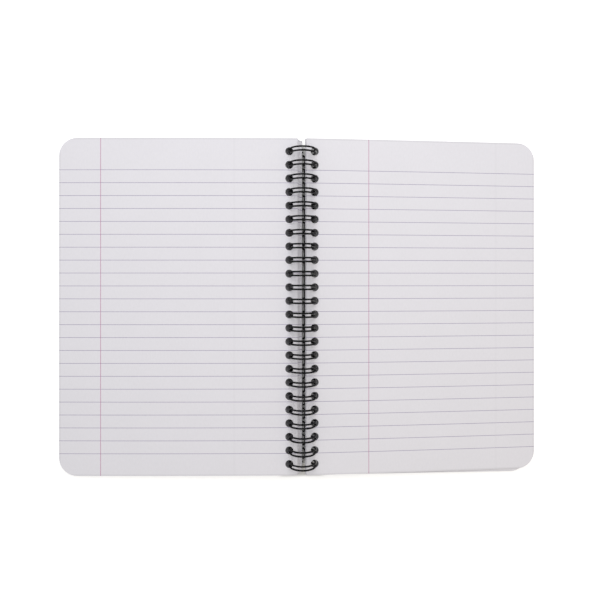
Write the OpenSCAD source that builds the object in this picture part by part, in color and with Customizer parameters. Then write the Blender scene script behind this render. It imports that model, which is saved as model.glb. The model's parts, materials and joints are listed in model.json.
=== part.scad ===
// Open notebook bound by one closed twin-loop wire, lying flat and seen from above.
// X runs across the two pages, Y along the spine towards the head, Z up from the table.

/* [Sheets] */
// Width of a sheet, from its punched edge to its outer edge
sheet_w = 148; // [105:1:215]
// Height of a sheet, along the spine
sheet_h = 210; // [148:1:297]
// Radius of the two outer corners
corner_r = 11; // [2:0.5:16]
// Thickness of the pages lying on the left
left_pages_t = 3.5; // [2:0.1:4.5]
// Thickness of the pages lying on the right
right_pages_t = 2.0; // [1.2:0.1:3.5]
// Thickness of the uppermost leaves on the right, which lie square to the spine
top_leaves_t = 0.4; // [0.2:0.1:0.8]
// Angle by which the leaves below them have slipped round
slip_angle = 0.8; // [0:0.1:0.9]

/* [Covers] */
// Thickness of the card of each cover
cover_t = 0.5; // [0.3:0.1:0.8]
// Distance from the spine at which a cover starts to rise off the table
rise_start = 118; // [80:1:130]
// Play between a cover and the pages lying on it
cover_gap = 0.15; // [0.1:0.05:0.3]

/* [Wire] */
// Thickness of the wire
wire_d = 1.1; // [0.9:0.05:1.3]
// Clear width inside a closed loop
loop_bore = 14.8; // [14:0.1:16]
// Distance from one pair of wires to the next
loop_pitch = 8.467; // [8:0.001:10]
// Distance between the two wires of a pair, from middle to middle
pair_w = 2.35; // [2:0.05:2.6]
// Bend radius where a wire turns along the spine
foot_bend_r = 1.2; // [1.1:0.05:1.4]
// Free distance between a loop's tip and the feet beside it
tip_gap = 0.2; // [0.15:0.05:0.4]
// Angle round the loop at which the wires come together, from +X over the top
closure_angle = 284; // [278:1:288]
// Height of the loops over the table
wire_lift = 1.5; // [0.5:0.1:3]

/* [Punching] */
// Diameter of a punched hole
hole_d = 5; // [4.8:0.1:5.4]
// Distance from a hole's centre to the punched edge
hole_to_edge = 5.1; // [4.6:0.1:5.2]
// Least distance from a hole's centre to the head or foot of a sheet
end_margin = 6; // [5:0.5:12]
// Distance by which the row of holes lies nearer to the foot of the sheets than to the head
punch_shift = 0.5; // [0:0.1:1]
// Distance by which both stacks hang to the left on the wire
hang_shift = 0.3; // [0:0.05:0.5]

/* [Lie of the pages] */
// Depth of the open pages below the loops' axis, where the wire enters them
page_drop = 0.45; // [0.3:0.05:1]
// Depth of the left cover below the loops' axis, where the wire enters it
left_cover_drop = 6.4; // [4.6:0.1:6.6]
// Depth of the right cover below the loops' axis, where the wire enters it
right_cover_drop = 3.4; // [3:0.1:5]
// Height by which an open page arches over a straight line
page_arch = 0.5; // [0:0.1:0.8]

/* [Hidden] */
$fn = 64;

wire_r = wire_d / 2;
loop_r = (loop_bore + wire_d) / 2;
axis_z = wire_lift + wire_r + loop_r;
loops = floor((sheet_h - 2 * (end_margin + punch_shift)) / loop_pitch) + 1;
first_y = -(loops - 1) * loop_pitch / 2 - punch_shift;

// Round the closure, distances along the loop come back as angles, in tenths of a degree so that bends meet
deg_per_mm = 180 / (PI * loop_r);
bend_reach = foot_bend_r + pair_w / 2;
tip_centre = sqrt(pow(bend_reach + wire_d + tip_gap, 2) - pow(bend_reach, 2));
foot_angle = tenths(closure_angle - foot_bend_r * deg_per_mm);
tip_angle = tenths(foot_angle + tip_centre * deg_per_mm);
loop_span = 360 + foot_angle - tip_angle;

// Angles round the loops' axis, from +X, between which the channels of the stacks run
channel_start = -80;
channel_end = 30;

// Straight steps in the curve of a page or cover
curve_steps = 14;
// Sides of a wire's section, and of the round that the punched edges follow
wire_sides = 24;
fan_sides = 96;
// Spare length by which a cutting solid runs past what it cuts
over = 1;

// Distance of an open page's outer edge from the axis, and how far its corners swing along the spine
page_reach = edge_x(page_drop) + sheet_w;
corner_swing = page_reach * sin(slip_angle);
stack_h = sheet_h + 2 * (corner_swing + over);

// Distance of a hole from the axis, for a sheet that lies a given depth below the axis
function hole_x(drop) = sqrt(pow(loop_r, 2) - pow(drop, 2));
function edge_x(drop) = hole_x(drop) - hole_to_edge;

// A card bends up from the table towards the loops
function rise_share(x) = pow(max(0, 1 - x / rise_start), 2);
function cover_rise(drop) = (axis_z - drop - cover_t) / rise_share(hole_x(drop));
function cover_z(x, drop) = cover_rise(drop) * rise_share(x);
function pages_z(x, drop) = cover_z(x, drop) + cover_t + cover_gap;

// An open page falls from the loops to its outer edge, slightly arched
function fall_share(x) = (x - hole_x(page_drop)) / (edge_x(page_drop) + sheet_w - hole_x(page_drop));
function page_z(x, pages_t) =
    let (near = axis_z - page_drop, far = cover_t + cover_gap + pages_t, f = fall_share(x))
    near + (far - near) * f + 4 * page_arch * f * (1 - f);

function tenths(angle) = round(10 * angle) / 10;
function step_x(i, from, to) = from + (to - from) * i / curve_steps;

// Outline of a sheet, with its punched edge at the left and two rounded outer corners
module sheet_outline(w) {
    square_w = w - corner_r;
    translate([0, -sheet_h / 2]) square([square_w, sheet_h]);
    translate([0, corner_r - sheet_h / 2]) square([w, sheet_h - 2 * corner_r]);
    for (side = [-1, 1])
        translate([square_w, side * (sheet_h / 2 - corner_r)]) circle(r = corner_r);
}

// A section drawn across the spine, drawn out along it
module along_spine(length) {
    translate([0, length / 2, 0]) rotate([90, 0, 0]) linear_extrude(length) children();
}

// The room that the wires of one pair need in a stack, bent round the loops' axis
module wire_channel() {
    rotate([90, 0, 0]) rotate([0, 0, channel_start])
        rotate_extrude(angle = channel_end - channel_start) translate([loop_r, 0]) circle(d = hole_d);
}

module at_each_loop() {
    for (i = [0 : loops - 1]) translate([0, first_y + i * loop_pitch, 0]) children();
}

// Sheets whose holes hang on the loops have punched edges that follow the same curve
module fanned_edge() {
    translate([-hole_to_edge, 0, axis_z])
        along_spine(stack_h) circle(r = loop_r, $fn = fan_sides);
}

// A band of sheets on the right, from its lower to its upper surface
module page_band(drop, pages_t, from_top, down_to_cover, angle) {
    lower_reach = down_to_cover ? edge_x(drop) + sheet_w : page_reach;
    upper = [for (i = [0 : curve_steps]) let (x = step_x(i, -hole_to_edge, page_reach))
        [x, page_z(x, pages_t) - from_top]];
    lower = [for (i = [curve_steps : -1 : 0]) let (x = step_x(i, -hole_to_edge, lower_reach))
        [x, down_to_cover ? pages_z(x, drop) : page_z(x, pages_t) - from_top - top_leaves_t]];
    difference() {
        intersection() {
            along_spine(stack_h) polygon(concat(upper, lower));
            rotate([0, 0, -angle]) linear_extrude(2 * axis_z) sheet_outline(page_reach);
        }
        fanned_edge();
    }
}

// A cover on the right, from its punched edge to its rounded outer edge
module card(drop) {
    from = edge_x(drop);
    to = from + sheet_w;
    under = [for (i = [0 : curve_steps]) let (x = step_x(i, from, rise_start)) [x, cover_z(x, drop)]];
    above = [for (p = under) [p[0], p[1] + cover_t]];
    difference() {
        intersection() {
            along_spine(sheet_h + over)
                polygon(concat(under, [[to, 0], [to, cover_t]], [for (i = [curve_steps : -1 : 0]) above[i]]));
            translate([from, 0, 0]) linear_extrude(axis_z) sheet_outline(sheet_w);
        }
        at_each_loop() translate([hole_x(drop), 0, -over]) cylinder(d = hole_d, h = axis_z);
    }
}

// One loop: two parallel wires round the axis, joined at a rounded tip
module loop_pair() {
    rotate([0, -tip_angle, 0]) {
        for (side = [-1, 1])
            translate([0, side * pair_w / 2, 0]) rotate([90, 0, 0])
                rotate_extrude(angle = loop_span) translate([loop_r, 0]) circle(r = wire_r, $fn = wire_sides);
        translate([loop_r, 0, 0]) rotate([-90, 0, 90])
            rotate_extrude(angle = 180) translate([pair_w / 2, 0]) circle(r = wire_r, $fn = wire_sides);
    }
}

// The foot that leads from one loop to the next along the spine
module loop_foot() {
    run = loop_pitch - pair_w - 2 * foot_bend_r;
    rotate([0, -foot_angle, 0]) translate([loop_r, 0, 0]) {
        for (side = [0, 1])
            mirror([0, side, 0]) translate([0, run / 2, 0]) rotate([90, 0, 90])
                rotate_extrude(angle = 90) translate([foot_bend_r, 0]) circle(r = wire_r, $fn = wire_sides);
        translate([0, 0, foot_bend_r]) rotate([90, 0, 0])
            cylinder(r = wire_r, h = run, center = true, $fn = wire_sides);
    }
}

module twin_loop_wire() {
    color("#17181a") translate([0, 0, axis_z]) {
        at_each_loop() loop_pair();
        for (i = [0 : loops - 2]) translate([0, first_y + (i + 0.5) * loop_pitch, 0]) loop_foot();
    }
}

module front_cover() {
    color("#a8a8a6") translate([-hang_shift, 0, 0]) mirror([1, 0, 0]) card(left_cover_drop);
}

module left_pages() {
    color("#e2e0e6") difference() {
        translate([-hang_shift, 0, 0]) mirror([1, 0, 0])
            page_band(left_cover_drop, left_pages_t, 0, true, 0);
        mirror([1, 0, 0]) translate([0, 0, axis_z]) at_each_loop() wire_channel();
    }
}

module right_pages() {
    color("#e4dfe4") difference() {
        translate([-hang_shift, 0, 0]) {
            page_band(right_cover_drop, right_pages_t, top_leaves_t, true, slip_angle);
            page_band(right_cover_drop, right_pages_t, 0, false, 0);
        }
        translate([0, 0, axis_z]) at_each_loop() wire_channel();
    }
}

module back_cover() {
    color("#a8a8a6") translate([-hang_shift, 0, 0]) card(right_cover_drop);
}

twin_loop_wire();
front_cover();
left_pages();
right_pages();
back_cover();
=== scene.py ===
"""Looks of an open notebook bound by a twin-loop wire: ruled leaves, covers, wire and stage."""

import json
import math
import random

import bmesh
import bpy
from bpy.props import FloatProperty, FloatVectorProperty, IntProperty, PointerProperty
from mathutils import Matrix, Vector


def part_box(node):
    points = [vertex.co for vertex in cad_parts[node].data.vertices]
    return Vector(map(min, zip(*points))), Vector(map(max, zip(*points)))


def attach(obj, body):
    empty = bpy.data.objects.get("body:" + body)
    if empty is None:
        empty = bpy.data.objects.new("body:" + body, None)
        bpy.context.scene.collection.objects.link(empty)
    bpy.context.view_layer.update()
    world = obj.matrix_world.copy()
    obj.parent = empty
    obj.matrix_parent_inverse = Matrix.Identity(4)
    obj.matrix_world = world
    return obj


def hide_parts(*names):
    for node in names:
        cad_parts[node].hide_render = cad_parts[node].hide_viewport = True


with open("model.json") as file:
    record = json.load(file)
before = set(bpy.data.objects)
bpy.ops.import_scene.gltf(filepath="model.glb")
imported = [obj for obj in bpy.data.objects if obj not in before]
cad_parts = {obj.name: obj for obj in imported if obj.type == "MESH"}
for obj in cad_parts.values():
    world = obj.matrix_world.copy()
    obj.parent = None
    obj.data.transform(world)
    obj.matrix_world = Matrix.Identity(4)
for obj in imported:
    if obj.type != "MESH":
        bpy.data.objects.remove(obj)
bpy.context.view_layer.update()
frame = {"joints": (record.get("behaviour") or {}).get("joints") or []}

bl_info = {
    "name": "Open Twin-Loop Notebook",
    "version": (1, 0, 0),
    "blender": (4, 5, 0),
    "location": "View3D > Sidebar > Notebook",
    "description": "Dresses the frame of an open notebook with ruled leaves, card covers and a closed wire",
    "category": "Add Mesh",
}

MM = 0.001

# Sizes that the frame gives
FRONT_LOW, FRONT_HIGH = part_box("front_cover")
BACK_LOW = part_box("back_cover")[0]
WIRE_LOW, WIRE_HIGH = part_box("twin_loop_wire")
AXIS_Z = frame["joints"][0]["pos_m"][2]

LEFT, RIGHT = -1, 1
UP = Vector((0, 0, 1))
ALONG_SPINE = Vector((0, 1, 0))

# Fineness of the meshes
LEAF_GRID = {"hole_sides": 20, "columns": 18, "rows": 6}
CARD_GRID = {"hole_sides": 28, "columns": 24, "rows": 4}
CORNER_STEPS = 10
BEVEL_STEPS = 2
WIRE_SIDES = 12
LOOP_STEPS = 46
TIP_STEPS = 8
FOOT_STEPS = 5
SHARP_FROM = math.radians(35)
# Power by which the columns of a sheet get wider towards its outer edge
COLUMN_SPREAD = 1.25
# Halvings in the search for the place where a leaf meets the loops
EDGE_SEARCHES = 40

# Distances under which two places count as one
WALL_PLAY = 0.1 * MM
CUT_PLAY = 1e-7
WELD_PLAY = 1e-6

# Bevels, as shares of the thickness of the card and of the wire
CARD_BEVEL = 0.16
WIRE_END_BEVEL = 0.12
CARD_RIM_ANGLE = math.radians(60)

# Least and most height that a leaf takes, as shares of the mean
LEAF_STEP = (0.8, 1.2)

# A printed line's fading edge, as shares of its width from its middle
LINE_OUTER, LINE_INNER = 0.62, 0.38
# How much wider and how faint the margin line shows through from the far side
SHOW_THROUGH_WIDTH, SHOW_THROUGH = 4, 0.018
# Darker rim of a sheet: its width and its strength
DARK_RIM_WIDTH, DARK_RIM = 1.4 * MM, 0.12
# Painted shade round the holes, where their hollows are shaded: reach of its fading edge beyond the hole's
# rim, and strength
PAINTED_HOLE_SHADE_OUTER, PAINTED_HOLE_SHADE_INNER, PAINTED_HOLE_SHADE = 1.2 * MM, 0.6 * MM, 0.7

# Bounds of the floor that keeps its own shade, beside the spine and from the sheets' head and foot
SHADE_BESIDE = 16 * MM
SHADE_HEAD = (4 * MM, 1.5 * MM)
SHADE_FOOT = (3 * MM, 5 * MM)
# Light added to the rest of the floor, and to the floor between two distances from the notebook
NEAR_LIFT, FAR_LIFT = 0.45, 0.16
FAR_FROM, FAR_TO = 0.25, 0.7
FLOOR_HALF = 3.0
SENSOR_WIDTH = 36


class SheetSettings(bpy.types.PropertyGroup):
    """Size of a leaf, its punching and the two stacks"""

    width: FloatProperty(
        name="Width", description="From the punched edge to the outer edge",
        default=148 * MM, unit="LENGTH", precision=4)
    height: FloatProperty(
        name="Height", description="From the foot to the head, along the spine",
        default=FRONT_HIGH.y - FRONT_LOW.y, unit="LENGTH", precision=4)
    corner_radius: FloatProperty(
        name="Corner Radius", description="Rounding of the two outer corners",
        default=11 * MM, unit="LENGTH", precision=4)
    thickness: FloatProperty(
        name="Leaf Thickness", description="Thickness of one leaf of paper",
        default=0.088 * MM, unit="LENGTH", precision=6)
    left_leaves: IntProperty(
        name="Left Leaves", description="Leaves that lie on the left", default=35, min=2)
    right_leaves: IntProperty(
        name="Right Leaves", description="Leaves that lie on the right", default=20, min=2)
    leaf_pitch: FloatProperty(
        name="Leaf Pitch", description="Height that each leaf takes in the stack",
        default=0.1 * MM, unit="LENGTH", precision=5)
    straight_leaves: IntProperty(
        name="Straight Leaves", description="Uppermost leaves on the right that lie square to the spine",
        default=4, min=0)
    slip_angle: FloatProperty(
        name="Slip Angle", description="Angle by which the leaves below them have slipped round",
        default=math.radians(0.8), unit="ROTATION")
    slip_draw: FloatProperty(
        name="Slip Draw", description="Distance by which their foot corner also lies further in",
        default=3.0 * MM, unit="LENGTH", precision=5)
    hole_diameter: FloatProperty(
        name="Hole Diameter", description="Diameter of a punched hole",
        default=5 * MM, unit="LENGTH", precision=4)
    hole_to_edge: FloatProperty(
        name="Hole To Edge", description="From a hole's centre to the punched edge",
        default=5.1 * MM, unit="LENGTH", precision=4)
    hang_shift: FloatProperty(
        name="Hang Shift", description="Distance by which both stacks hang to the left on the wire",
        default=0.3 * MM, unit="LENGTH", precision=5)
    page_drop: FloatProperty(
        name="Page Drop", description="Depth of the open pages below the loops' axis, at the wire",
        default=0.45 * MM, unit="LENGTH", precision=5)
    page_arch: FloatProperty(
        name="Page Arch", description="Height by which an open page arches over a straight line",
        default=0.5 * MM, unit="LENGTH", precision=5)
    settle: FloatProperty(
        name="Settle", description="Distance by which the lowest left leaves lie nearer to the foot",
        default=0.3 * MM, unit="LENGTH", precision=5)
    stray: FloatProperty(
        name="Stray", description="Most that a leaf lies off its neighbours, across the page",
        default=0.12 * MM, unit="LENGTH", precision=5)


class PrintSettings(bpy.types.PropertyGroup):
    """Ruling of a leaf and the colours of paper and ink"""

    rules: IntProperty(name="Rules", description="Ruled lines on a page", default=23, min=1)
    rule_pitch: FloatProperty(
        name="Rule Pitch", description="Distance from one rule to the next",
        default=8.02 * MM, unit="LENGTH", precision=5)
    first_rule: FloatProperty(
        name="First Rule", description="Distance of the first rule from the head",
        default=19.8 * MM, unit="LENGTH", precision=5)
    rule_width: FloatProperty(
        name="Rule Width", description="Width of a ruled line",
        default=0.28 * MM, unit="LENGTH", precision=5)
    margin_width: FloatProperty(
        name="Margin Width", description="Width of the margin line",
        default=0.35 * MM, unit="LENGTH", precision=5)
    recto_margin: FloatProperty(
        name="Right Page Margin", description="Margin line's distance from the punched edge on a right page",
        default=39.3 * MM, unit="LENGTH", precision=4)
    verso_margin: FloatProperty(
        name="Left Page Margin", description="Margin line's distance from the outer edge on a left page",
        default=25.8 * MM, unit="LENGTH", precision=4)
    paper: FloatVectorProperty(
        name="Paper", description="Colour of the paper",
        default=(0.770, 0.760, 0.808), size=3, subtype="COLOR", min=0, max=1)
    rule_ink: FloatVectorProperty(
        name="Rule Ink", description="Colour of the ruled lines",
        default=(0.25, 0.21, 0.36), size=3, subtype="COLOR", min=0, max=1)
    margin_ink: FloatVectorProperty(
        name="Margin Ink", description="Colour of the margin line",
        default=(0.48, 0.16, 0.33), size=3, subtype="COLOR", min=0, max=1)


class WireSettings(bpy.types.PropertyGroup):
    """Size and finish of the closed twin-loop wire"""

    thickness: FloatProperty(
        name="Thickness", description="Thickness of the coated wire",
        default=1.1 * MM, unit="LENGTH", precision=5)
    loops: IntProperty(name="Loops", description="Pairs of wires along the spine", default=24, min=2)
    pair_width: FloatProperty(
        name="Pair Width", description="Distance between the two wires of a pair",
        default=2.35 * MM, unit="LENGTH", precision=5)
    foot_bend: FloatProperty(
        name="Foot Bend", description="Bend radius where a wire turns along the spine",
        default=1.2 * MM, unit="LENGTH", precision=5)
    foot_angle: FloatProperty(
        name="Foot Angle", description="Angle round the loop at which the wire turns along the spine",
        default=math.radians(275.4), unit="ROTATION")
    tip_angle: FloatProperty(
        name="Tip Angle", description="Angle round the loop at which the rounded tip begins",
        default=math.radians(295.6), unit="ROTATION")
    colour: FloatVectorProperty(
        name="Coating", description="Colour of the wire's coating",
        default=(0.006, 0.006, 0.007), size=3, subtype="COLOR", min=0, max=1)


class CoverSettings(bpy.types.PropertyGroup):
    """Size and finish of the two card covers"""

    thickness: FloatProperty(
        name="Thickness", description="Thickness of the card",
        default=0.5 * MM, unit="LENGTH", precision=5)
    gap: FloatProperty(
        name="Gap", description="Play between a cover and the pages on it",
        default=0.15 * MM, unit="LENGTH", precision=5)
    rise_start: FloatProperty(
        name="Rise Start", description="Distance from the spine at which a cover leaves the table",
        default=118 * MM, unit="LENGTH", precision=4)
    colour: FloatVectorProperty(
        name="Card", description="Colour of the card's surface",
        default=(0.39, 0.39, 0.38), size=3, subtype="COLOR", min=0, max=1)
    core: FloatVectorProperty(
        name="Core", description="Colour of the card's cut edge",
        default=(0.47, 0.46, 0.44), size=3, subtype="COLOR", min=0, max=1)


class StageSettings(bpy.types.PropertyGroup):
    """Camera, lamps and floor"""

    eye: FloatVectorProperty(
        name="Eye", description="Place of the camera",
        default=(-14.8 * MM, 17.4 * MM, 330 * MM), size=3, subtype="TRANSLATION", unit="LENGTH")
    aim: FloatVectorProperty(
        name="Aim", description="Point that the camera looks at",
        default=(-1.16 * MM, 17.4 * MM, 0.0), size=3, subtype="TRANSLATION", unit="LENGTH")
    lens: FloatProperty(
        name="Lens", description="Focal length in millimetres, on a sensor 36 mm wide", default=30.89)
    lens_shift: FloatProperty(
        name="Lens Shift", description="Shift of the picture towards the head, as a share of its width",
        default=-0.0352)
    sky: FloatProperty(
        name="Sky", description="Strength of the even light from all round", default=0.53, min=0)
    lamps: FloatProperty(
        name="Lamps", description="Strength of the lamps, as a share", default=1.0, min=0)


class NotebookSettings(bpy.types.PropertyGroup):
    """All sizes and colours of the notebook"""

    sheet: PointerProperty(type=SheetSettings)
    ink: PointerProperty(type=PrintSettings)
    wire: PointerProperty(type=WireSettings)
    cover: PointerProperty(type=CoverSettings)
    stage: PointerProperty(type=StageSettings)


class Side:
    """How one half of the open notebook lies, with x measured outwards from the spine"""

    def __init__(self, book, sign):
        self.sign = sign
        self.sheet, self.cover = book.sheet, book.cover
        self.loop_radius = loop_radius(book)
        self.leaves = self.sheet.left_leaves if sign == LEFT else self.sheet.right_leaves
        self.stack = self.leaves * self.sheet.leaf_pitch
        inner = -FRONT_HIGH.x - self.sheet.hang_shift if sign == LEFT else BACK_LOW.x + self.sheet.hang_shift
        cover_hole_x = inner + self.sheet.hole_to_edge
        self.cover_drop = math.sqrt(self.loop_radius ** 2 - cover_hole_x ** 2)
        rise = AXIS_Z - self.cover_drop - self.cover.thickness
        self.cover_rise = rise / self.rise_share(cover_hole_x)
        self.reach = self.edge_x(self.sheet.page_drop) + self.sheet.width

    def hole_x(self, drop):
        """Distance of a hole from the spine, for a sheet that lies this far below the loops' axis"""
        return math.sqrt(self.loop_radius ** 2 - drop ** 2)

    def edge_x(self, drop):
        return self.hole_x(drop) - self.sheet.hole_to_edge

    def rise_share(self, x):
        return max(0.0, 1 - x / self.cover.rise_start) ** 2

    def cover_z(self, x):
        """Underside of the cover"""
        return self.cover_rise * self.rise_share(x)

    def lowest_z(self, x):
        """Underside of the stack"""
        return self.cover_z(x) + self.cover.thickness + self.cover.gap

    def page_z(self, x):
        """Face of the open page"""
        sheet = self.sheet
        start = self.hole_x(sheet.page_drop)
        fall = (x - start) / (self.edge_x(sheet.page_drop) + sheet.width - start)
        near = AXIS_Z - sheet.page_drop
        far = self.cover.thickness + self.cover.gap + self.stack
        return near + (far - near) * fall + 4 * sheet.page_arch * fall * (1 - fall)

    def leaf_z(self, x, share):
        """Height of a leaf that lies a given share of the way up the stack"""
        low = self.lowest_z(x)
        return low + (self.page_z(x) - low) * share

    def leaf_edge(self, share):
        """Where the punched edge of that leaf lies, with its holes on the loops"""
        high, low = 0.0, self.cover_drop + self.sheet.page_drop
        for _ in range(EDGE_SEARCHES):
            drop = (high + low) / 2
            if AXIS_Z - drop > self.leaf_z(self.hole_x(drop), share):
                high = drop
            else:
                low = drop
        return self.edge_x(drop)

    def place(self, x, y, z):
        return Vector((self.sign * x - self.sheet.hang_shift, y, z))


def loop_radius(book):
    """Radius of a loop to the middle of its wire"""
    return (WIRE_HIGH.x - WIRE_LOW.x - book.wire.thickness) / 2


def loop_places(book):
    """Places of the pairs of wires along the spine"""
    wire = book.wire
    outer = wire.pair_width + wire.thickness
    first = WIRE_LOW.y + outer / 2
    pitch = (WIRE_HIGH.y - WIRE_LOW.y - outer) / (wire.loops - 1)
    return [first + i * pitch for i in range(wire.loops)]


def add_piece(name, bm, materials, body, node):
    """Turns the bmesh into a piece that rides on its body and stands for its node"""
    mesh = bpy.data.meshes.new(name)
    bm.to_mesh(mesh)
    bm.free()
    for material in materials:
        mesh.materials.append(material)
    mesh.shade_smooth()
    mesh.set_sharp_from_angle(angle=SHARP_FROM)
    piece = bpy.data.objects.new(name, mesh)
    bpy.context.scene.collection.objects.link(piece)
    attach(piece, body)
    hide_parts(node)


def cut_across(bm, place, normal):
    """Adds a row of vertices where the plane meets the mesh"""
    bmesh.ops.bisect_plane(
        bm, geom=bm.verts[:] + bm.edges[:] + bm.faces[:], dist=CUT_PLAY, plane_co=place, plane_no=normal)


def sheet_side(face, strip, half):
    """0 for the upper face, 1 for the lower face, 2 for an outer edge, 3 for the wall of a hole"""
    if abs(face.normal.z) > 0.5:
        return 0 if face.normal.z > 0 else 1
    middle = face.calc_center_median()
    return 3 if WALL_PLAY < middle.x < strip and abs(middle.y) < half - WALL_PLAY else 2


def punched_sheet(book, thickness, hole_sides, columns, rows):
    """A flat closed sheet with its punched edge on x = 0, and its own flat places as UV map"""
    sheet = book.sheet
    holes = loop_places(book)
    half = sheet.height / 2
    strip = 2 * sheet.hole_to_edge
    bm = bmesh.new()
    outline = [(0, -half), (sheet.width, -half), (sheet.width, half), (0, half)]
    corners = [bm.verts.new((x, y, 0)) for x, y in outline]
    bm.faces.new(corners)
    bmesh.ops.bevel(
        bm, geom=corners[1:3], offset=sheet.corner_radius, offset_type="OFFSET", affect="VERTICES",
        segments=CORNER_STEPS, profile=0.5, material=-1, clamp_overlap=False)
    for i in range(columns):
        share = (i / columns) ** COLUMN_SPREAD
        cut_across(bm, (strip + (sheet.width - strip) * share, 0, 0), (1, 0, 0))

    punched = min(bm.faces, key=lambda f: f.calc_center_median().x)
    rim = punched.edges[:]
    bmesh.ops.delete(bm, geom=[punched], context="FACES_ONLY")
    for y in holes:
        ring = bmesh.ops.create_circle(
            bm, cap_ends=False, segments=hole_sides, radius=sheet.hole_diameter / 2,
            matrix=Matrix.Translation((sheet.hole_to_edge, y, 0)))["verts"]
        rim += list({e for v in ring for e in v.link_edges})
    bmesh.ops.triangle_fill(bm, use_beauty=True, use_dissolve=False, edges=rim, normal=UP)
    gaps = [(a + b) / 2 for a, b in zip(holes, holes[1:])]
    for i in range(1, rows):
        cut_across(bm, (0, gaps[i * len(gaps) // rows], 0), (0, 1, 0))

    top = bmesh.ops.extrude_face_region(bm, geom=bm.faces[:])["geom"]
    bmesh.ops.translate(bm, verts=[v for v in top if isinstance(v, bmesh.types.BMVert)], vec=thickness * UP)
    bmesh.ops.recalc_face_normals(bm, faces=bm.faces[:])
    uv = bm.loops.layers.uv.new("sheet")
    for face in bm.faces:
        face.material_index = sheet_side(face, strip, half)
        for corner in face.loops:
            corner[uv].uv = corner.vert.co.xy
    mesh = bpy.data.meshes.new("flat sheet")
    bm.to_mesh(mesh)
    bm.free()
    return mesh


def bend_sheet(bm, flat, side, start_x, height_at, slip=0.0, draw=0.0, stray=(0.0, 0.0)):
    """Adds a copy of the flat sheet, bent to height_at, with its punched edge at start_x

    A slipped sheet stays on the loops and swings further round the further out it is.
    """
    first = len(bm.verts)
    bm.from_mesh(flat)
    shorter = 1 - 2 * min(abs(stray[1]), side.sheet.stray) / side.sheet.height
    swing = math.sin(slip)
    free = side.sheet.width - side.sheet.hole_to_edge
    half = side.sheet.height / 2
    for vert in bm.verts[first:]:
        out = max(0.0, vert.co.x - side.sheet.hole_to_edge)
        y = vert.co.y * shorter + stray[1]
        round_by = (y * swing - draw * max(0.0, -y / half)) * out / free
        x = min(start_x + vert.co.x + stray[0] + round_by, side.reach)
        vert.co = side.place(x, y - out * swing, height_at(x) + vert.co.z)


def leaf_shares(count, rng):
    """How far up the stack each leaf lies, from the lowest, in slightly uneven steps"""
    steps = [rng.uniform(*LEAF_STEP) for _ in range(count)]
    total = sum(steps)
    climbed = 0.0
    shares = []
    for step in steps:
        shares.append((climbed + step / 2) / total)
        climbed += step
    return shares


def build_leaves(book, side, seed):
    """All leaves of one stack, lowest first"""
    sheet = book.sheet
    rng = random.Random(seed)
    flat = punched_sheet(book, sheet.thickness, **LEAF_GRID)
    bm = bmesh.new()
    # Marks the leaves under the top one, which get painted shade round their holes
    buried = bm.faces.layers.float.new("buried")
    for i, share in enumerate(leaf_shares(side.leaves, rng)):
        from_top = side.leaves - 1 - i
        slips = side.sign == RIGHT and from_top >= sheet.straight_leaves
        stray = 0 if from_top == 0 else sheet.stray
        off = [rng.uniform(-stray, 0), rng.uniform(-stray, stray)]
        if side.sign == LEFT:
            off[1] -= sheet.settle * (1 - share)
        middle = sheet.thickness / 2
        first = len(bm.faces)
        bend_sheet(
            bm, flat, side, side.leaf_edge(share), lambda x, s=share: side.leaf_z(x, s) - middle,
            sheet.slip_angle if slips else 0.0, sheet.slip_draw if slips else 0.0, off)
        for face in bm.faces[first:]:
            face[buried] = 0.0 if from_top == 0 else 1.0
    if side.sign == LEFT:
        bmesh.ops.reverse_faces(bm, faces=bm.faces[:])
    bpy.data.meshes.remove(flat)
    return bm


def build_cover(book, side):
    """One bent card, with its edges slightly rounded"""
    card = book.cover.thickness
    flat = punched_sheet(book, card, **CARD_GRID)
    bm = bmesh.new()
    bend_sheet(bm, flat, side, side.edge_x(side.cover_drop), side.cover_z)
    if side.sign == LEFT:
        bmesh.ops.reverse_faces(bm, faces=bm.faces[:])
    rim = [e for e in bm.edges if e.is_manifold and e.calc_face_angle() > CARD_RIM_ANGLE]
    bmesh.ops.bevel(
        bm, geom=rim, offset=card * CARD_BEVEL, offset_type="OFFSET", affect="EDGES",
        segments=BEVEL_STEPS, profile=0.5, material=-1, clamp_overlap=True)
    bpy.data.meshes.remove(flat)
    return bm


def ring_edges(ring):
    """The edges between the vertices of a ring, each once"""
    return list({e for v in ring for e in v.link_edges if e.other_vert(v) in ring})


def turned(bm, ring, centre, axis, angle, steps):
    """Sweeps the ring of vertices round an axis and returns the ring at the far end"""
    swept = bmesh.ops.spin(
        bm, geom=list(ring) + ring_edges(ring), cent=centre, axis=axis, dvec=(0, 0, 0),
        angle=angle, steps=steps, use_duplicate=False)["geom_last"]
    return {v for v in swept if isinstance(v, bmesh.types.BMVert)}


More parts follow.
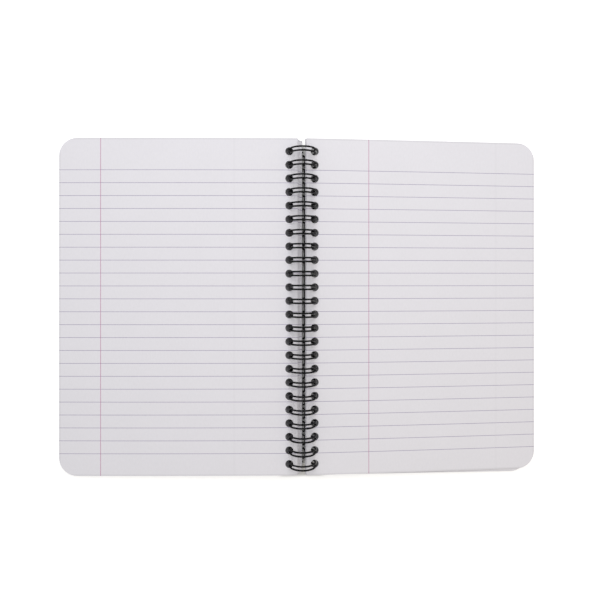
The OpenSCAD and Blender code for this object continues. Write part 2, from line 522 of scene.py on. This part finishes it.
def build_wire(book):
    """The whole comb: each loop out and back round its tip, and a foot on to the next loop"""
    wire = book.wire
    radius = loop_radius(book)
    places = loop_places(book)
    pitch = places[1] - places[0]
    span = 2 * math.pi + wire.foot_angle - wire.tip_angle

    def outwards(angle):
        return Vector((math.cos(angle), 0, math.sin(angle)))

    foot_out, tip_out = outwards(wire.foot_angle), outwards(wire.tip_angle)
    onwards = foot_out.cross(ALONG_SPINE)
    axis_at = Vector((0, places[0], AXIS_Z))
    leg = ALONG_SPINE * wire.pair_width / 2
    bend = ALONG_SPINE * wire.foot_bend
    foot_at = axis_at + foot_out * radius + leg

    bm = bmesh.new()
    section = Matrix((foot_out, ALONG_SPINE, onwards)).transposed().to_4x4()
    start = Matrix.Translation(axis_at + foot_out * radius - leg) @ section
    ring = set(bmesh.ops.create_circle(
        bm, cap_ends=False, segments=WIRE_SIDES, radius=wire.thickness / 2, matrix=start)["verts"])
    ring = turned(bm, ring, axis_at, ALONG_SPINE, span, LOOP_STEPS)
    ring = turned(bm, ring, axis_at + tip_out * radius, tip_out, math.pi, TIP_STEPS)
    ring = turned(bm, ring, axis_at, ALONG_SPINE, -span, LOOP_STEPS)
    last_loop = bm.copy()

    ring = turned(bm, ring, foot_at + bend, -foot_out, math.pi / 2, FOOT_STEPS)
    run = bmesh.ops.extrude_edge_only(bm, edges=ring_edges(ring))["geom"]
    ring = {v for v in run if isinstance(v, bmesh.types.BMVert)}
    straight = pitch - wire.pair_width - 2 * wire.foot_bend
    bmesh.ops.translate(bm, verts=list(ring), vec=ALONG_SPINE * straight)
    turned(bm, ring, foot_at + bend + ALONG_SPINE * straight, -foot_out, math.pi / 2, FOOT_STEPS)

    unit = bpy.data.meshes.new("loop and foot")
    bm.to_mesh(unit)
    bm.free()
    end = bpy.data.meshes.new("last loop")
    last_loop.to_mesh(end)
    last_loop.free()
    comb = bmesh.new()
    for y in places:
        first = len(comb.verts)
        comb.from_mesh(end if y == places[-1] else unit)
        bmesh.ops.translate(comb, verts=comb.verts[first:], vec=ALONG_SPINE * (y - places[0]))
    bpy.data.meshes.remove(unit)
    bpy.data.meshes.remove(end)
    bmesh.ops.remove_doubles(comb, verts=comb.verts[:], dist=WELD_PLAY)
    open_ends = [e for e in comb.edges if e.is_boundary]
    caps = bmesh.ops.edgeloop_fill(comb, edges=open_ends)["faces"]
    bmesh.ops.bevel(
        comb, geom=list({e for f in caps for e in f.edges}), offset=wire.thickness * WIRE_END_BEVEL,
        offset_type="OFFSET", affect="EDGES", segments=BEVEL_STEPS, profile=0.5, material=-1,
        clamp_overlap=True)
    bmesh.ops.recalc_face_normals(comb, faces=comb.faces[:])
    return comb


class Nodes:
    """Short ways to add shader nodes to one material or world"""

    def __init__(self, owner):
        owner.use_nodes = True
        self.material = owner
        self.tree = owner.node_tree
        self.shader = self.tree.nodes.get("Principled BSDF")

    def add(self, kind, **settings):
        node = self.tree.nodes.new(kind)
        for key, value in settings.items():
            setattr(node, key, value)
        return node

    def link(self, source, target):
        self.tree.links.new(source, target)

    def feed(self, value, socket):
        """Links another node's output to the socket, or sets the socket to a plain value"""
        if isinstance(value, bpy.types.NodeSocket):
            self.link(value, socket)
        else:
            socket.default_value = value

    def math(self, operation, *values):
        node = self.add("ShaderNodeMath", operation=operation)
        for socket, value in zip(node.inputs, values):
            self.feed(value, socket)
        return node.outputs[0]

    def noise(self, coordinates, scale, detail, stretch=(1, 1, 1)):
        mapping = self.add("ShaderNodeMapping")
        mapping.inputs["Scale"].default_value = stretch
        self.link(coordinates, mapping.inputs["Vector"])
        node = self.add("ShaderNodeTexNoise")
        node.inputs["Scale"].default_value = scale
        node.inputs["Detail"].default_value = detail
        self.link(mapping.outputs[0], node.inputs["Vector"])
        return node.outputs["Fac"]

    def spread(self, value, low, high):
        """Moves a noise value from its middle range to low .. high"""
        node = self.add("ShaderNodeMapRange")
        node.inputs["From Min"].default_value = 0.25
        node.inputs["From Max"].default_value = 0.75
        node.inputs["To Min"].default_value = low
        node.inputs["To Max"].default_value = high
        self.link(value, node.inputs["Value"])
        return node.outputs[0]

    def ramp(self, value, start, end):
        """Rises softly from 0 at start to 1 at end"""
        node = self.add("ShaderNodeMapRange", interpolation_type="SMOOTHSTEP")
        node.inputs["From Min"].default_value = start
        node.inputs["From Max"].default_value = end
        self.link(value, node.inputs["Value"])
        return node.outputs[0]

    def tint(self, factor, under, over):
        """Mixes from under to over by factor"""
        node = self.add("ShaderNodeMix", data_type="RGBA")
        # The node has sockets for numbers, vectors and colours: these are its factor and its two colours
        for value, i in ((factor, 0), (under, 6), (over, 7)):
            self.feed(value, node.inputs[i])
        return node.outputs[2]

    def shade(self, colour, factor):
        """Multiplies a colour by a grey value"""
        node = self.add("ShaderNodeVectorMath", operation="SCALE")
        self.feed(colour, node.inputs[0])
        self.link(factor, node.inputs["Scale"])
        return node.outputs[0]

    def bump(self, height, distance, strength):
        node = self.add("ShaderNodeBump")
        node.inputs["Distance"].default_value = distance
        node.inputs["Strength"].default_value = strength
        self.link(height, node.inputs["Height"])
        self.link(node.outputs[0], self.shader.inputs["Normal"])


def rgba(colour):
    return (*colour, 1.0)


def stripe(nodes, distance, width):
    """1 within half the width of a line, with slightly soft edges, from a signed distance"""
    return nodes.ramp(nodes.math("ABSOLUTE", distance), width * LINE_OUTER, width * LINE_INNER)


def hole_shade(book, nodes, x, y):
    """Grey factor of the painted shade round the holes of the leaves under the open page, standing in for
    the shade in the holes' hollows
    """
    sheet, places = book.sheet, loop_places(book)
    pitch = places[1] - places[0]
    row = nodes.math("DIVIDE", nodes.math("SUBTRACT", y, places[0]), pitch)
    nearest = nodes.math("MINIMUM", nodes.math("MAXIMUM", nodes.math("ROUND", row), 0), len(places) - 1)
    along = nodes.math("MULTIPLY", nodes.math("SUBTRACT", row, nearest), pitch)
    across = nodes.math("SUBTRACT", x, sheet.hole_to_edge)
    away = nodes.math("SQRT", nodes.math(
        "ADD", nodes.math("MULTIPLY", along, along), nodes.math("MULTIPLY", across, across)))
    rim = sheet.hole_diameter / 2
    near = nodes.ramp(away, rim + PAINTED_HOLE_SHADE_OUTER, rim + PAINTED_HOLE_SHADE_INNER)
    buried = nodes.add("ShaderNodeAttribute", attribute_name="buried").outputs["Fac"]
    painted_shade = nodes.math("MULTIPLY", nodes.math("MULTIPLY", near, buried), PAINTED_HOLE_SHADE)
    return nodes.math("SUBTRACT", 1.0, painted_shade)


def paper_material(book, name, margin_x, far_margin_x):
    """Ruled paper: rules, one margin line, the faint far side's margin, fibres, rims darker towards the cut
    edges, and painted shade round the holes
    """
    sheet, ink = book.sheet, book.ink
    nodes = Nodes(bpy.data.materials.new(name))
    place = nodes.add("ShaderNodeUVMap", uv_map="sheet").outputs[0]
    axes = nodes.add("ShaderNodeSeparateXYZ")
    nodes.link(place, axes.inputs[0])
    x, y = axes.outputs[0], axes.outputs[1]

    from_head = nodes.math("SUBTRACT", sheet.height / 2, y)
    row = nodes.math("DIVIDE", nodes.math("SUBTRACT", from_head, ink.first_rule), ink.rule_pitch)
    nearest = nodes.math("ROUND", row)
    off_rule = nodes.math("MULTIPLY", nodes.math("SUBTRACT", row, nearest), ink.rule_pitch)
    in_block = nodes.math("MULTIPLY", nodes.math("GREATER_THAN", row, -0.5),
                          nodes.math("LESS_THAN", row, ink.rules - 0.5))
    rule = nodes.math("MULTIPLY", stripe(nodes, off_rule, ink.rule_width), in_block)
    margin = stripe(nodes, nodes.math("SUBTRACT", x, margin_x), ink.margin_width)
    far_margin = stripe(
        nodes, nodes.math("SUBTRACT", x, far_margin_x), ink.margin_width * SHOW_THROUGH_WIDTH)

    mottle = nodes.spread(nodes.noise(place, scale=45, detail=3), low=0.992, high=1.008)
    fibre = nodes.spread(
        nodes.noise(place, scale=900, detail=3, stretch=(1, 0.45, 1)), low=0.985, high=1.015)
    inked = nodes.spread(nodes.noise(place, scale=1600, detail=2), low=0.72, high=1.0)
    edge = nodes.math("MINIMUM", nodes.math("SUBTRACT", sheet.width, x),
                      nodes.math("SUBTRACT", sheet.height / 2, nodes.math("ABSOLUTE", y)))
    # Darker towards the cut edges of the sheet
    darker_rim = nodes.math("MULTIPLY", nodes.ramp(edge, DARK_RIM_WIDTH, 0.0), DARK_RIM)

    colour = nodes.shade(ink.paper, nodes.math("MULTIPLY", mottle, fibre))
    faint = nodes.math("MULTIPLY", far_margin, SHOW_THROUGH)
    colour = nodes.shade(colour, nodes.math("SUBTRACT", 1.0, faint))
    colour = nodes.tint(nodes.math("MULTIPLY", rule, inked), colour, rgba(ink.rule_ink))
    colour = nodes.tint(nodes.math("MULTIPLY", margin, inked), colour, rgba(ink.margin_ink))
    colour = nodes.shade(colour, nodes.math("SUBTRACT", 1.0, darker_rim))
    # Painted shade round the holes of the leaves under the open page
    colour = nodes.shade(colour, hole_shade(book, nodes, x, y))
    nodes.link(colour, nodes.shader.inputs["Base Color"])
    nodes.shader.inputs["Roughness"].default_value = 0.82
    nodes.shader.inputs["Specular IOR Level"].default_value = 0.25
    fibres = nodes.noise(place, scale=1500, detail=4, stretch=(1, 0.5, 1))
    nodes.bump(fibres, distance=0.02 * MM, strength=0.6)
    return nodes.material


def cut_paper_material(book, name, level):
    """A cut edge of the leaves: a little darker and warmer than their faces, with nicks; level scales its
    colour, and a low level paints in the shade of the holes' walls
    """
    nodes = Nodes(bpy.data.materials.new(name))
    place = nodes.add("ShaderNodeTexCoord").outputs["Object"]
    edge = Vector(book.ink.paper) * level
    nicks = nodes.spread(nodes.noise(place, scale=1100, detail=3), low=0.0, high=1.0)
    smooth = (edge.x, edge.y, edge.z * 0.95, 1)
    nicked = (edge.x * 0.86, edge.y * 0.86, edge.z * 0.8, 1)
    nodes.link(nodes.tint(nicks, smooth, nicked), nodes.shader.inputs["Base Color"])
    nodes.shader.inputs["Roughness"].default_value = 0.9
    nodes.shader.inputs["Specular IOR Level"].default_value = 0.2
    nodes.bump(nodes.noise(place, scale=2500, detail=2), distance=0.02 * MM, strength=0.5)
    return nodes.material


def cut_paper_materials(book):
    """The cut outer edges, and the walls of the holes, darkened to a tenth as painted shade"""
    # The hole walls' low level is painted shade
    return cut_paper_material(book, "cut_paper", 1.0), cut_paper_material(book, "painted_shade_hole_walls", 0.1)


def wire_material(book):
    """Black coating with a slightly uneven satin sheen"""
    nodes = Nodes(bpy.data.materials.new("wire_coating"))
    place = nodes.add("ShaderNodeTexCoord").outputs["Object"]
    black = Vector(book.wire.colour)
    cloud = nodes.spread(nodes.noise(place, scale=260, detail=3), low=0.0, high=1.0)
    nodes.link(nodes.tint(cloud, rgba(black * 0.8), rgba(black * 1.5)), nodes.shader.inputs["Base Color"])
    sheen = nodes.spread(nodes.noise(place, scale=900, detail=3), low=0.24, high=0.38)
    nodes.link(sheen, nodes.shader.inputs["Roughness"])
    nodes.shader.inputs["Specular IOR Level"].default_value = 0.07
    nodes.bump(nodes.noise(place, scale=700, detail=3), distance=0.012 * MM, strength=0.6)
    return nodes.material


def card_material(book):
    """Grey matte card with a fine grain, a little worn along its edges"""
    cover, sheet = book.cover, book.sheet
    nodes = Nodes(bpy.data.materials.new("grey_card"))
    place = nodes.add("ShaderNodeUVMap", uv_map="sheet").outputs[0]
    axes = nodes.add("ShaderNodeSeparateXYZ")
    nodes.link(place, axes.inputs[0])
    grain = nodes.spread(nodes.noise(place, scale=700, detail=4, stretch=(1, 0.6, 1)), low=0.0, high=1.0)
    grey = Vector(cover.colour)
    colour = nodes.tint(grain, rgba(grey * 0.88), rgba(grey * 1.12))
    edge = nodes.math("MINIMUM", nodes.math("SUBTRACT", sheet.width, axes.outputs[0]),
                      nodes.math("SUBTRACT", sheet.height / 2, nodes.math("ABSOLUTE", axes.outputs[1])))
    uneven = nodes.spread(nodes.noise(place, scale=500, detail=3), low=-0.5 * MM, high=0.9 * MM)
    scuff = nodes.math("ADD", edge, uneven)
    worn = nodes.math("MULTIPLY", nodes.ramp(scuff, 0.4 * MM, 0.0), 0.7)
    nodes.link(nodes.tint(worn, colour, rgba(cover.core)), nodes.shader.inputs["Base Color"])
    matt = nodes.spread(nodes.noise(place, scale=120, detail=3), low=0.5, high=0.62)
    nodes.link(matt, nodes.shader.inputs["Roughness"])
    nodes.bump(nodes.noise(place, scale=1400, detail=4), distance=0.03 * MM, strength=0.6)
    return nodes.material


def card_edge_material(book):
    """The cut edge of the card: its grey core in fine layers"""
    nodes = Nodes(bpy.data.materials.new("card_core"))
    place = nodes.add("ShaderNodeTexCoord").outputs["Object"]
    core = Vector(book.cover.core)
    layers = nodes.spread(
        nodes.noise(place, scale=420, detail=2, stretch=(0.15, 0.15, 12)), low=0.0, high=1.0)
    nodes.link(nodes.tint(layers, rgba(core * 0.8), rgba(core * 1.15)), nodes.shader.inputs["Base Color"])
    nodes.shader.inputs["Roughness"].default_value = 0.85
    nodes.bump(nodes.noise(place, scale=2200, detail=3), distance=0.03 * MM, strength=0.5)
    return nodes.material


def background_share(nodes):
    """1 for rays that see the background: the camera's, mirrored and refracted ones"""
    path = nodes.add("ShaderNodeLightPath")
    seen = nodes.math("MAXIMUM", path.outputs["Is Camera Ray"], path.outputs["Is Glossy Ray"])
    return nodes.math("MAXIMUM", seen, path.outputs["Is Transmission Ray"])


def floor_material(book):
    """Pale floor that reads white where it is unshaded, and keeps the notebook's shadow"""
    nodes = Nodes(bpy.data.materials.new("pale_floor"))
    axes = nodes.add("ShaderNodeSeparateXYZ")
    place = nodes.add("ShaderNodeTexCoord").outputs["Object"]
    nodes.link(place, axes.inputs[0])
    half = book.sheet.height / 2
    beside = nodes.ramp(nodes.math("ABSOLUTE", axes.outputs[0]), WIRE_HIGH.x, SHADE_BESIDE)
    above_head = nodes.ramp(axes.outputs[1], *(half - shift for shift in SHADE_HEAD))
    below_foot = nodes.ramp(axes.outputs[1], *(-half - shift for shift in SHADE_FOOT))
    distance = nodes.add("ShaderNodeVectorMath", operation="LENGTH")
    nodes.link(place, distance.inputs[0])
    far_off = nodes.ramp(distance.outputs["Value"], FAR_FROM, FAR_TO)
    far_lift = nodes.math("MULTIPLY", far_off, FAR_LIFT)
    output = nodes.tree.nodes["Material Output"]
    nodes.tree.nodes.remove(nodes.shader)
    plain = nodes.add("ShaderNodeBsdfDiffuse")
    plain.inputs["Color"].default_value = (0.86, 0.86, 0.86, 1)
    seen = nodes.add("ShaderNodeBsdfDiffuse")
    seen.inputs["Color"].default_value = (0.8, 0.8, 0.8, 1)
    lift = nodes.add("ShaderNodeEmission")
    open_floor = nodes.math("MAXIMUM", beside, nodes.math("MAXIMUM", above_head, below_foot))
    near_lift = nodes.math("MULTIPLY", open_floor, NEAR_LIFT)
    nodes.link(nodes.math("ADD", near_lift, far_lift), lift.inputs["Strength"])
    lifted = nodes.add("ShaderNodeAddShader")
    nodes.link(seen.outputs[0], lifted.inputs[0])
    nodes.link(lift.outputs[0], lifted.inputs[1])
    mixed = nodes.add("ShaderNodeMixShader")
    nodes.link(background_share(nodes), mixed.inputs[0])
    nodes.link(plain.outputs[0], mixed.inputs[1])
    nodes.link(lifted.outputs[0], mixed.inputs[2])
    nodes.link(mixed.outputs[0], output.inputs["Surface"])
    return nodes.material


def light_world(strength):
    """Even light from all round, which reads white behind the notebook"""
    world = bpy.data.worlds.new("studio")
    bpy.context.scene.world = world
    nodes = Nodes(world)
    level = nodes.add("ShaderNodeMapRange")
    level.inputs["To Min"].default_value = strength
    level.inputs["To Max"].default_value = 1.0
    nodes.link(background_share(nodes), level.inputs["Value"])
    background = nodes.tree.nodes["Background"]
    background.inputs["Color"].default_value = (1, 1, 1, 1)
    nodes.link(level.outputs[0], background.inputs["Strength"])


def add_lamp(name, place, size, power, colour=(1, 1, 1)):
    """A square soft box that faces the middle of the spine"""
    data = bpy.data.lights.new(name, "AREA")
    data.shape = "SQUARE"
    data.size = size
    data.energy = power
    data.color = colour
    lamp = bpy.data.objects.new(name, data)
    lamp.location = place
    lamp.rotation_euler = (-Vector(place)).to_track_quat("-Z", "Y").to_euler()
    bpy.context.scene.collection.objects.link(lamp)


def add_leaves(book, sign, name, node, page_names, seed):
    """One stack of leaves, with faces printed like the open page and like that page's back"""
    recto, verso = book.ink.recto_margin, book.sheet.width - book.ink.verso_margin
    margin, back_margin = (verso, recto) if sign == LEFT else (recto, verso)
    open_page = paper_material(book, page_names[0], margin, back_margin)
    page_back = paper_material(book, page_names[1], back_margin, margin)
    finishes = (open_page, page_back, *cut_paper_materials(book))
    add_piece(name, build_leaves(book, Side(book, sign), seed), finishes, node, node)


class NOTEBOOK_OT_stage(bpy.types.Operator):
    """Adds the floor, the lamps, the world and the camera"""

    bl_idname = "notebook.stage"
    bl_label = "Stage"

    def execute(self, context):
        stage = context.scene.notebook.stage
        camera_data = bpy.data.cameras.new("camera")
        camera_data.sensor_width = SENSOR_WIDTH
        camera_data.lens = stage.lens
        camera_data.shift_y = stage.lens_shift
        camera_data.clip_start = 0.01
        camera = bpy.data.objects.new("camera", camera_data)
        eye, aim = Vector(stage.eye), Vector(stage.aim)
        camera.location = eye
        back = (eye - aim).normalized()
        across = ALONG_SPINE.cross(back).normalized()
        camera.matrix_world = (
            Matrix.Translation(eye) @ Matrix((across, back.cross(across), back)).transposed().to_4x4())
        context.scene.collection.objects.link(camera)
        context.scene.camera = camera

        bm = bmesh.new()
        bmesh.ops.create_grid(bm, x_segments=1, y_segments=1, size=FLOOR_HALF)
        mesh = bpy.data.meshes.new("floor")
        bm.to_mesh(mesh)
        bm.free()
        mesh.materials.append(floor_material(context.scene.notebook))
        floor = bpy.data.objects.new("floor", mesh)
        context.scene.collection.objects.link(floor)

        light_world(stage.sky)
        add_lamp("head_lamp", (-0.01, 0.28, 0.55), size=0.6, power=2.25 * stage.lamps)
        add_lamp(
            "foot_lamp", (0.42, -0.42, 0.5), size=0.5, power=0.5 * stage.lamps, colour=(1.0, 0.72, 0.3))
        context.scene.view_settings.view_transform = "Standard"
        return {"FINISHED"}


class NOTEBOOK_OT_left_leaves(bpy.types.Operator):
    """Adds the stack of ruled leaves that lies on the left"""

    bl_idname = "notebook.left_leaves"
    bl_label = "Left Leaves"

    def execute(self, context):
        book = context.scene.notebook
        add_leaves(book, LEFT, "left_leaves", "left_pages", ("verso", "recto_under"), seed=11)
        return {"FINISHED"}


class NOTEBOOK_OT_right_leaves(bpy.types.Operator):
    """Adds the stack of ruled leaves that lies on the right"""

    bl_idname = "notebook.right_leaves"
    bl_label = "Right Leaves"

    def execute(self, context):
        book = context.scene.notebook
        add_leaves(book, RIGHT, "right_leaves", "right_pages", ("recto", "verso_under"), seed=23)
        return {"FINISHED"}


class NOTEBOOK_OT_covers(bpy.types.Operator):
    """Adds the two card covers under the stacks"""

    bl_idname = "notebook.covers"
    bl_label = "Covers"

    def execute(self, context):
        book = context.scene.notebook
        card, core = card_material(book), card_edge_material(book)
        for sign, node in ((LEFT, "front_cover"), (RIGHT, "back_cover")):
            bm = build_cover(book, Side(book, sign))
            add_piece(f"{node}_card", bm, (card, card, core, core), node, node)
        return {"FINISHED"}


class NOTEBOOK_OT_wire(bpy.types.Operator):
    """Adds the closed twin-loop wire"""

    bl_idname = "notebook.wire"
    bl_label = "Wire"

    def execute(self, context):
        book = context.scene.notebook
        add_piece("coated_wire", build_wire(book), (wire_material(book),), "wire", "twin_loop_wire")
        return {"FINISHED"}


class NOTEBOOK_PT_panel(bpy.types.Panel):
    """Lists the pieces of the notebook"""

    bl_idname = "NOTEBOOK_PT_panel"
    bl_label = "Notebook"
    bl_space_type = "VIEW_3D"
    bl_region_type = "UI"
    bl_category = "Notebook"

    def draw(self, context):
        for operator in OPERATORS:
            self.layout.operator(operator.bl_idname)


GROUPS = (SheetSettings, PrintSettings, WireSettings, CoverSettings, StageSettings, NotebookSettings)
OPERATORS = (
    NOTEBOOK_OT_stage, NOTEBOOK_OT_left_leaves, NOTEBOOK_OT_right_leaves, NOTEBOOK_OT_covers,
    NOTEBOOK_OT_wire)


def register():
    for cls in (*GROUPS, *OPERATORS, NOTEBOOK_PT_panel):
        bpy.utils.register_class(cls)
    bpy.types.Scene.notebook = PointerProperty(type=NotebookSettings)


def unregister():
    del bpy.types.Scene.notebook
    for cls in reversed((*GROUPS, *OPERATORS, NOTEBOOK_PT_panel)):
        bpy.utils.unregister_class(cls)


def main():
    register()
    bpy.ops.notebook.stage()
    bpy.ops.notebook.left_leaves()
    bpy.ops.notebook.right_leaves()
    bpy.ops.notebook.covers()
    bpy.ops.notebook.wire()


if __name__ == "__main__":
    main()
